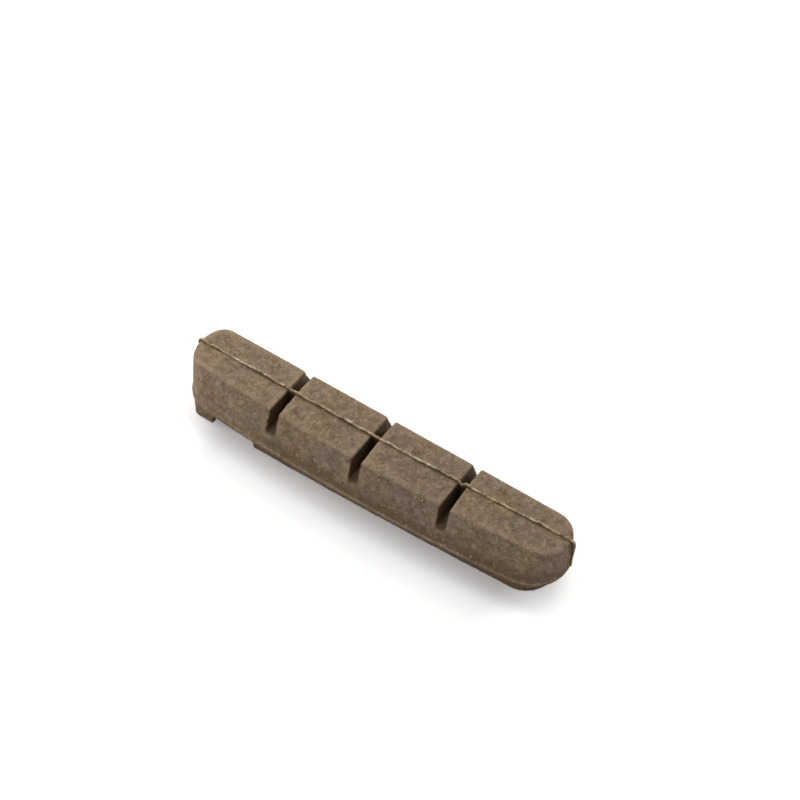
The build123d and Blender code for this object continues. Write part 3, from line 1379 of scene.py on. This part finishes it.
def seen_directly(graph: Graph) -> Socket:
    """Whether a ray comes from the camera, a gloss or a glass.

    Args:
        graph: Graph that gets the nodes.

    Returns:
        The socket with 1 for such a ray.
    """
    path = graph.add("ShaderNodeLightPath").outputs
    either = graph.math("MAXIMUM", path["Is Camera Ray"], path["Is Glossy Ray"])
    return graph.math("MAXIMUM", either, path["Is Transmission Ray"])


@dataclass(frozen=True)
class Softbox:
    """One soft square lamp that looks at the pad."""

    name: str
    place: tuple[float, float, float]
    width: float
    power: float
    colour: tuple[float, float, float] = (1.0, 1.0, 1.0)

    def build(self) -> None:
        """Hang the lamp."""
        lamp = bpy.data.lights.new(self.name, "AREA")
        lamp.size = self.width
        lamp.energy = self.power
        lamp.color = self.colour
        holder = add_object(self.name, lamp)
        holder.location = self.place
        holder.rotation_euler = (-Vector(self.place)).to_track_quat("-Z", "Y").to_euler()


@dataclass
class Studio:
    """Floor, light and camera of the photograph."""

    floor_half: float = 1.5
    floor_gap: float = 0.13 * MM
    sky: float = 0.5
    lamps: tuple[Softbox, ...] = (
        Softbox("key_softbox", (0.1, 0.24, 0.4), 0.4, 0.82),
        Softbox("top_softbox", (-0.02, 0.08, 0.18), 0.18, 0.13),
        Softbox("front_softbox", (-0.33, -0.74, 0.5), 0.7, 1.2, (1.0, 0.985, 1.03)),
        Softbox("heel_softbox", (-0.25, -0.05, 0.1), 0.2, 0.34, (1.0, 0.99, 1.03)),
    )
    camera_place: tuple[float, float, float] = (77.42 * MM, -108.20 * MM, 181.09 * MM)
    camera_target: tuple[float, float, float] = (-5.22 * MM, 12.50 * MM, 0.0)
    focal_pixels: float = 1791.8
    image_pixels: float = 800.0
    sensor_width: float = 36.0
    nearest: float = 0.01

    def build(self) -> None:
        """Set everything up."""
        self._floor()
        self._sky()
        for lamp in self.lamps:
            lamp.build()
        self._camera()
        bpy.context.scene.view_settings.view_transform = "Standard"

    def _floor(self) -> None:
        """Lay the white floor just under the rail's back."""
        half = self.floor_half
        mesh = bpy.data.meshes.new("floor")
        corners = [(-half, -half), (half, -half), (half, half), (-half, half)]
        mesh.from_pydata([(x, y, -self.floor_gap) for x, y in corners], [], [(0, 1, 2, 3)])
        mesh.materials.append(WhiteFloorFinish().material())
        add_object("floor", mesh)

    def _sky(self) -> None:
        """Even soft light from all round, white to the eye."""
        world = bpy.data.worlds.new("studio")
        world.use_nodes = True
        graph = Graph(world.node_tree)
        level = graph.math("MAXIMUM", seen_directly(graph), self.sky)
        shade = graph.add("ShaderNodeBackground", {"Strength": level})
        graph.add("ShaderNodeOutputWorld", {"Surface": shade.outputs[0]})
        bpy.context.scene.world = world

    def _camera(self) -> None:
        """Stand the camera where the photograph was taken from."""
        data = bpy.data.cameras.new("camera")
        data.sensor_width = self.sensor_width
        data.lens = self.sensor_width * self.focal_pixels / self.image_pixels
        data.clip_start = self.nearest
        camera = add_object("camera", data)
        camera.location = self.camera_place
        look = Vector(self.camera_target) - Vector(self.camera_place)
        camera.rotation_euler = look.to_track_quat("-Z", "Y").to_euler()
        bpy.context.scene.camera = camera


def main() -> None:
    """Build the pad and its studio in order."""
    logging.basicConfig(level=logging.INFO, format="%(name)s %(message)s")
    groups = ShaderGroups()
    pad = PadFrame()
    body = MouldedBody(pad, CompoundFinish().material(groups, "cork_compound")).build()
    pale_film = CompoundFinish(
        dark=(0.12, 0.085, 0.048, 1.0),
        middle=(0.31, 0.241, 0.15, 1.0),
        light=(0.57, 0.468, 0.315, 1.0),
        mottle_size=1.3 * MM,
    )
    PartingFlash(pad, FlashFinish(pale_film).material(groups, "flash_film")).build()
    GrainScatter(body).build()
    Studio().build()


if __name__ == "__main__":
    main()
